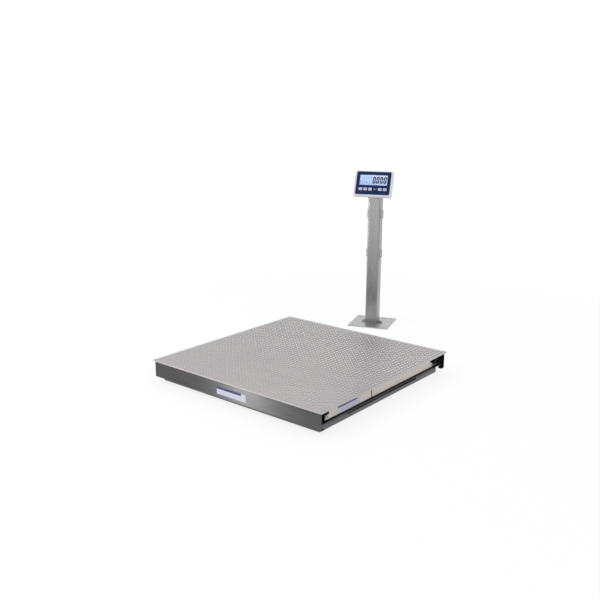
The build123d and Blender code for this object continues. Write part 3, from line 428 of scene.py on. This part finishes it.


# Labels: satin polyester film stuck on the front skirt and on the right near panel, screen printed with a
# plain dark blue bar and otherwise bare. Both are printed polyester, as the indicator's foil is. The side
# label's film is a darker copy of the front one's, as painted shade.
label_corner = 0.003
label_thickness = 0.0004
ink_thickness = 0.0001
label_film = printed_film("white_polyester_film", "c6c6d8", "dcdcea", cloud=0.015)
side_film = printed_film("polyester_film_painted_shade", "a9a9ba", "bfbfcc", cloud=0.015)
label_ink = printed_film("navy_screen_ink", "28265c", "3a3872")
skirt_low, skirt_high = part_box("front_skirt")
panel_low, panel_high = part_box("right_side_panels")
east, north, upward = Vector((1, 0, 0)), Vector((0, 1, 0)), Vector((0, 0, 1))
labels = (
    ("front_label", Vector((0.003, skirt_low.y, 0.070)), east, (0.216, 0.044), (0.182, 0.014), label_film),
    ("side_label", Vector((panel_high.x, deck_middle.y - 0.354, 0.086)), north, (0.196, 0.040), (0.168, 0.011),
     side_film),
)
for label_name, middle, across, (width, tall), (bar_width, bar_tall), film in labels:
    on_film = middle + across.cross(upward) * label_thickness
    lay_shapes(label_name, [rounded(width, tall, label_corner)], (middle, across, upward), label_thickness,
               film, "deck")
    bar_outline = rounded(bar_width, bar_tall, label_corner / 2, (bar_width - width) / 2, (tall - bar_tall) / 2)
    lay_shapes(label_name + "_bar", [bar_outline], (on_film, across, upward), ink_thickness,
               label_ink, "deck")

# Hidden deck parts: ribs, hinge arms and ears, lugs and corner plates are plain plate, shot blasted after
# welding, which leaves a grey and even tooth.
blast_tooth = 0.0018
blast_cloud = 0.11
blasted, tree, place = new_finish("blasted_plate")
tooth = add(tree, "ShaderNodeTexNoise", {"Vector": place, "Scale": 1 / blast_tooth, "Detail": 3.0})
clouds = add(tree, "ShaderNodeTexNoise", {"Vector": place, "Scale": 1 / blast_cloud, "Detail": 3.0})
colour = add(tree, "ShaderNodeMix", {
    "Factor": clouds.outputs["Fac"], "A": linear("464648"), "B": linear("848486"),
}, data_type="RGBA")
bump = add(tree, "ShaderNodeBump", {"Height": tooth.outputs["Fac"], "Strength": 0.3, "Distance": 0.0004})
steel = add(tree, "ShaderNodeBsdfPrincipled", {
    "Base Color": colour.outputs["Result"], "Metallic": 1.0, "Roughness": 0.6, "Normal": bump.outputs[0],
})
add(tree, "ShaderNodeOutputMaterial", {"Surface": steel.outputs[0]})
dress(blasted, "deck_ribs", "hinge_arms", "spring_deck_lugs", "hinge_ears", "spring_base_lugs", "corner_plates")

# Base frame: rectangular stainless tube, saw cut and welded, close above the floor on its feet. Its sides
# are mill bright, with drawn lines along each tube.
dress(brushed_stainless("drawn_frame_tube", "525254", "7c7c7e", "X"), "front_rail", "rear_rail", "cross_members")
dress(brushed_stainless("drawn_side_tube", "525254", "7c7c7e", "Y"), "side_rails")

# Load cells, bearing plates and buttons: machined and ground stainless, bright, with fine cutter marks
# all the same way.
ground = brushed_stainless("ground_stainless", "848486", "b0b0b2", "X", roughness=0.26, line=0.0008)
cell_names = [name for name in nodes if name.endswith("load_cell")]
dress(ground, "bearing_plates", "load_buttons", *cell_names)

# Feet, pins and screws: turned and rolled stainless. The lathe's rings are too fine to see, so only a soft
# change of brightness over each piece shows.
turned_cloud = 0.0045
turned, tree, place = new_finish("turned_stainless")
clouds = add(tree, "ShaderNodeTexNoise", {"Vector": place, "Scale": 1 / turned_cloud, "Detail": 2.0})
colour = add(tree, "ShaderNodeMix", {
    "Factor": clouds.outputs["Fac"], "A": linear("8a8a8c"), "B": linear("c8c8ca"),
}, data_type="RGBA")
steel = add(tree, "ShaderNodeBsdfPrincipled", {
    "Base Color": colour.outputs["Result"], "Metallic": 1.0, "Roughness": 0.28,
})
add(tree, "ShaderNodeOutputMaterial", {"Surface": steel.outputs[0]})
foot_names = [name for name in nodes if name.endswith("_foot")]
dress(turned, "load_cell_bolts", "hinge_pins", "hinge_arm_bolts", "junction_box_screws",
      "rear_cover_screws", "column_bolts", *foot_names)


def moulded(name, dark, light, roughness, tooth=0.0009, cloud=0.04, shine=0.5):
    """Moulded plastic or sprayed enamel: an even colour with the fine tooth that its mould or spray gave it."""
    material, tree, place = new_finish(name)
    etched = add(tree, "ShaderNodeTexNoise", {"Vector": place, "Scale": 1 / tooth, "Detail": 2.0})
    clouds = add(tree, "ShaderNodeTexNoise", {"Vector": place, "Scale": 1 / cloud, "Detail": 2.0})
    colour = add(tree, "ShaderNodeMix", {
        "Factor": clouds.outputs["Fac"], "A": linear(dark), "B": linear(light),
    }, data_type="RGBA")
    bump = add(tree, "ShaderNodeBump", {"Height": etched.outputs["Fac"], "Strength": 0.15, "Distance": 0.0002})
    skin = add(tree, "ShaderNodeBsdfPrincipled", {
        "Base Color": colour.outputs["Result"], "Roughness": roughness, "Specular IOR Level": shine,
        "Normal": bump.outputs[0],
    })
    add(tree, "ShaderNodeOutputMaterial", {"Surface": skin.outputs[0]})
    return material


# Gas springs: cylinders of drawn tube in semi-gloss black enamel, with the faint peel of a sprayed coat,
# and hard-chromed, polished rods that only wiping has touched.
wipe_size = 0.016
dress(moulded("black_enamel", "121213", "222224", 0.3, tooth=0.002), "left_spring_cylinder", "right_spring_cylinder")
chrome, tree, place = new_finish("polished_chrome")
wipes = add(tree, "ShaderNodeTexNoise", {"Vector": place, "Scale": 1 / wipe_size, "Detail": 2.0})
colour = add(tree, "ShaderNodeMix", {
    "Factor": wipes.outputs["Fac"], "A": linear("c8cbcd"), "B": linear("dcdee0"),
}, data_type="RGBA")
gloss = add(tree, "ShaderNodeMix", {"Factor": wipes.outputs["Fac"], "A": 0.04, "B": 0.13}, data_type="FLOAT")
plating = add(tree, "ShaderNodeBsdfPrincipled", {
    "Base Color": colour.outputs["Result"], "Metallic": 1.0, "Roughness": gloss.outputs["Result"],
})
add(tree, "ShaderNodeOutputMaterial", {"Surface": plating.outputs[0]})
dress(chrome, "left_spring_rod", "right_spring_rod")

# Junction box: a folded, brushed stainless box in the base frame, with grey moulded nylon glands. The board
# in it, like the indicator's, has green solder lacquer.
box_steel = brushed_stainless("brushed_box_sheet", "78787a", "98989a", "X")
dress(box_steel, "junction_box", "junction_box_lid")
dress(moulded("grey_nylon", "4a4e54", "62666c", 0.5), "junction_box_glands")
dress(moulded("green_board_lacquer", "0c3f24", "145634", 0.3), "summing_board", "main_board")

# Stand base plate: 8 mm stainless plate with a bright face, ground by hand in short strokes that leave soft
# overlapping patches.
plate_steel = brushed_stainless("ground_stand_plate", "9e9e9e", "cccccc", "X", roughness=0.38, streak=0.08)
dress(plate_steel, "stand_base_plate")

# Column, hooks and brackets: stainless square tube, strip and plate, all brushed along the column, so that
# it shows faint upright streaks.
column_steel = brushed_stainless("brushed_column_tube", "767677", "a8a8a9", "Z", roughness=0.3, streak=0.6)
dress(column_steel, "column", "cable_hooks", "column_bracket", "indicator_bracket")

# Tilt knobs and indicator glands: black moulded nylon with the fine etched tooth of the mould, which leaves
# them dull.
dress(moulded("black_nylon", "101011", "222224", 0.45), "tilt_knobs", "indicator_glands")

# Indicator housing: drawn steel shells in light grey satin enamel, smooth, with a faint orange peel from the
# spray gun.
dress(moulded("light_grey_enamel", "c6c9cf", "d6d9de", 0.35, tooth=0.002), "front_housing", "rear_cover")

# Front foil: polyester printed navy on its back and glued in the recess. Its face has a fine texture, which
# keeps the ceiling's reflection low.
foil = moulded("navy_polyester_foil", "0b1b42", "152c5c", 0.5, tooth=0.0006, cloud=0.07, shine=0.15)
dress(foil, "membrane_panel")

# Window and display: a clear acrylic plate over a back-lit liquid crystal, whose pale blue ground glows
# evenly behind it.
wipe_size = 0.025
clear, tree, place = new_finish("clear_acrylic")
wipes = add(tree, "ShaderNodeTexNoise", {"Vector": place, "Scale": 1 / wipe_size, "Detail": 2.0})
colour = add(tree, "ShaderNodeMix", {
    "Factor": wipes.outputs["Fac"], "A": linear("f0f4ff"), "B": linear("fcfdff"),
}, data_type="RGBA")
acrylic = add(tree, "ShaderNodeBsdfPrincipled", {
    "Base Color": colour.outputs["Result"], "Roughness": 0.03, "IOR": 1.49, "Transmission Weight": 1.0,
})
add(tree, "ShaderNodeOutputMaterial", {"Surface": acrylic.outputs[0]})
dress(clear, "display_window")
dress(printed_film("lit_liquid_crystal", "b0c6e6", "ccdaf0", 0.3, cloud=0.05, glow=0.45), "display_module")


def front_face(name):
    """The middle of a flat piece's front face, and the face's own directions across and up."""
    mesh = nodes[name].data
    front = max(mesh.polygons, key=lambda polygon: (polygon.normal.y < -0.5) * polygon.normal.z * polygon.area)
    out = Vector(front.normal)
    across = upward.cross(out).normalized()
    up = out.cross(across)
    points = [Vector(vertex.co) for vertex in mesh.vertices]
    centre = out * max(point.dot(out) for point in points)
    for axis in (across, up):
        reaches = [point.dot(axis) for point in points]
        centre += axis * (min(reaches) + max(reaches)) / 2
    return centre, across, up


# Display figures: the liquid crystal's dark segments, four seven-segment figures with a point, and the faint
# segments of three that are off on their left. They lie at the back of the clear window.
figure_width = 0.0222
figure_height = 0.0540
figure_pitch = 0.0262
segment_width = 0.0092
segment_tip = 0.0016
segment_gap = 0.0004
figure_lean = 0.05
figures_right = 0.0938
figures_depth = 0.00195
crystal_thickness = 0.00004
point_radius = 0.0026
segments = {"0": "abcdef", "8": "abcdefg"}
shown = "0000"


def segment(x0, y0, x1, y1):
    """One segment with blunt points at its ends, between two places."""
    along = Vector((x1 - x0, y1 - y0)).normalized()
    side = Vector((-along.y, along.x)) * segment_width / 2
    start = Vector((x0, y0)) + along * segment_gap
    end = Vector((x1, y1)) - along * segment_gap
    tip = along * segment_tip
    return [start, start + tip - side, end - tip - side, end, end - tip + side, start + tip + side]


def figure(middle_x, letters):
    """The outlines of one figure's segments, leaning a little to the right."""
    w = (figure_width - segment_width) / 2
    h = (figure_height - segment_width) / 2
    ends = {
        "a": (-w, h, w, h), "b": (w, h, w, 0), "c": (w, 0, w, -h), "d": (-w, -h, w, -h),
        "e": (-w, -h, -w, 0), "f": (-w, 0, -w, h), "g": (-w, 0, w, 0),
    }
    return [
        [(middle_x + point.x + figure_lean * point.y, point.y) for point in segment(*ends[letter])]
        for letter in letters
    ]


window_centre, across, up = front_face("display_window")
behind_window = (window_centre - across.cross(up) * figures_depth, across, up)
dark_crystal = printed_film("dark_liquid_crystal", "0e0e34", "1a1a46", 0.35)
faint_crystal = printed_film("faint_liquid_crystal", "9eb2d6", "b4c4e2", 0.35, glow=0.45)
dark_outlines = []
faint_outlines = []
for position in range(len(shown) + 3):
    middle_x = figures_right - figure_width / 2 - position * figure_pitch
    if position < len(shown):
        dark_outlines += figure(middle_x, segments[shown[-1 - position]])
    else:
        faint_outlines += figure(middle_x, segments["8"])
point_x = figures_right - 3 * figure_pitch + (figure_pitch - figure_width) / 2
dark_outlines.append([
    (point_x + point_radius * math.cos(angle), point_radius - figure_height / 2 + point_radius * math.sin(angle))
    for angle in (math.radians(30 * step) for step in range(12))
])
lay_shapes("display_figures", dark_outlines, behind_window, crystal_thickness, dark_crystal,
           "indicator")
lay_shapes("display_faint_figures", faint_outlines, behind_window, crystal_thickness, faint_crystal,
           "indicator")

# Keys: printed caps over a foil switch, five pale lavender and one teal, each moulded with soft corners and
# screen printed with a plain symbol: power, unit, clear, zero, tare and print.
key_names = ["power_key", "unit_key", "clear_key", "zero_key", "tare_key", "print_key"]
stroke = 0.0012
symbol_thickness = 0.00006
lavender = moulded("lavender_key_cap", "b6b6d4", "cacae6", 0.4, shine=0.3)
teal = moulded("teal_key_cap", "1c4450", "28525e", 0.4, shine=0.2)
dress(teal, "zero_key")
dress(lavender, *[name for name in key_names if name != "zero_key"])
key_ink = printed_film("dark_key_ink", "202256", "323470")
pale_ink = printed_film("pale_key_ink", "a8c0c6", "c0d4d8")


def arc(radius, start, end):
    """A ring or part of one, as a chain of four-cornered shapes."""
    steps = abs(end - start) // 30
    shapes = []
    for step in range(steps):
        before = math.radians(start + (end - start) * step / steps)
        after = math.radians(start + (end - start) * (step + 1) / steps)
        ends = ((radius - stroke, before), (radius, before), (radius, after), (radius - stroke, after))
        shapes.append([(r * math.cos(angle), r * math.sin(angle)) for r, angle in ends])
    return shapes


def line(x0, y0, x1, y1):
    """A straight stroke between two points."""
    start, end = Vector((x0, y0)), Vector((x1, y1))
    along = (end - start).normalized()
    side = Vector((-along.y, along.x)) * stroke / 2
    return [start - side, end - side, end + side, start + side]


def arrowhead(tip_x, tip_y, size):
    """A filled triangle whose tip points to the right, or to the left where its size is below zero."""
    half = abs(size) * 0.6
    points = [(tip_x, tip_y), (tip_x - size, tip_y + half), (tip_x - size, tip_y - half)]
    return points if size > 0 else points[::-1]


inward = [arrowhead(-0.0052, 0, 0.0035), arrowhead(0.0052, 0, -0.0035)]
symbols = {
    "power_key": arc(0.0048, -240, 60) + [line(0, 0.0005, 0, 0.0062)],
    "unit_key": [arrowhead(0.0068, 0.0025, 0.004), arrowhead(-0.0068, -0.0025, -0.004),
                 line(-0.006, 0.0025, 0.003, 0.0025), line(-0.003, -0.0025, 0.006, -0.0025)],
    "clear_key": arc(0.0048, 60, 300),
    "zero_key": arc(0.0036, 0, 360) + inward,
    "tare_key": [line(-0.003, 0.004, 0.003, 0.004), line(0, 0.0034, 0, -0.0045)] + inward,
    "print_key": [line(-0.005, level, 0.005, level) for level in (-0.0042, -0.0014, 0.0014, 0.0042)],
}
for key_name in key_names:
    is_teal = key_name == "zero_key"
    lay_shapes(key_name + "_symbol", symbols[key_name], front_face(key_name), symbol_thickness,
               pale_ink if is_teal else key_ink, key_name)

# Welds: pickled stainless fillet beads with the ripples of their passes. They join the skirts to the deck
# from inside, and the column's sides to its foot flange.
ripple_length = 0.0026
bead_radius = 0.0028
skirt_thickness = 0.004
column_half = 0.045
flange_half = 0.022
flange_top = 0.014
weld_colour = 0.0055
weld_steel, tree, place = new_finish("pickled_weld")
clouds = add(tree, "ShaderNodeTexNoise", {"Vector": place, "Scale": 1 / weld_colour, "Detail": 2.0})
colour = add(tree, "ShaderNodeMix", {
    "Factor": clouds.outputs["Fac"], "A": linear("6c6864"), "B": linear("a39f9a"),
}, data_type="RGBA")
steel = add(tree, "ShaderNodeBsdfPrincipled", {
    "Base Color": colour.outputs["Result"], "Metallic": 1.0, "Roughness": 0.45,
})
add(tree, "ShaderNodeOutputMaterial", {"Surface": steel.outputs[0]})


def weld_bead(name, start, end, body):
    """A round bead along a level corner, whose thickness ripples from pass to pass."""
    ring_size = 6
    along = end - start
    side = along.normalized().cross(upward)
    count = int(along.length / ripple_length)
    verts = []
    faces = [tuple(reversed(range(ring_size)))]
    for index in range(count + 1):
        swell = bead_radius * (1 + (0.10 if index % 2 else -0.04) + random.uniform(-0.04, 0.04))
        for step in range(ring_size):
            angle = 2 * math.pi * step / ring_size
            offset = side * swell * math.cos(angle) + upward * swell * math.sin(angle)
            verts.append(start + along * index / count + offset)
    for index in range(count):
        low = index * ring_size
        high = low + ring_size
        for step in range(ring_size):
            after = (step + 1) % ring_size
            faces.append((low + step, low + after, high + after, high + step))
    faces.append(tuple(count * ring_size + step for step in range(ring_size)))
    new_piece(name, verts, faces, (weld_steel,), body, smooth=True)


rear_low, rear_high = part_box("rear_skirt")
skirt_left, skirt_right = skirt_low.x + bead_radius, skirt_high.x - bead_radius
for weld_name, y in (
    ("front_skirt_weld", skirt_low.y + skirt_thickness), ("rear_skirt_weld", rear_high.y - skirt_thickness),
):
    corner_z = skirt_high.z - bead_radius / 2
    weld_bead(weld_name, Vector((skirt_left, y, corner_z)), Vector((skirt_right, y, corner_z)),
              "deck")
plate_low, plate_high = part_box("stand_base_plate")
stand_x_axis = across
stand_y_axis = upward.cross(stand_x_axis)
stand_foot = (plate_low + plate_high) / 2
for weld_name, side in (("left_column_weld", -1), ("right_column_weld", 1)):
    middle = Vector((stand_foot.x, stand_foot.y, flange_top)) + stand_x_axis * column_half * side
    weld_bead(weld_name, middle - stand_y_axis * flange_half, middle + stand_y_axis * flange_half,
              "root")
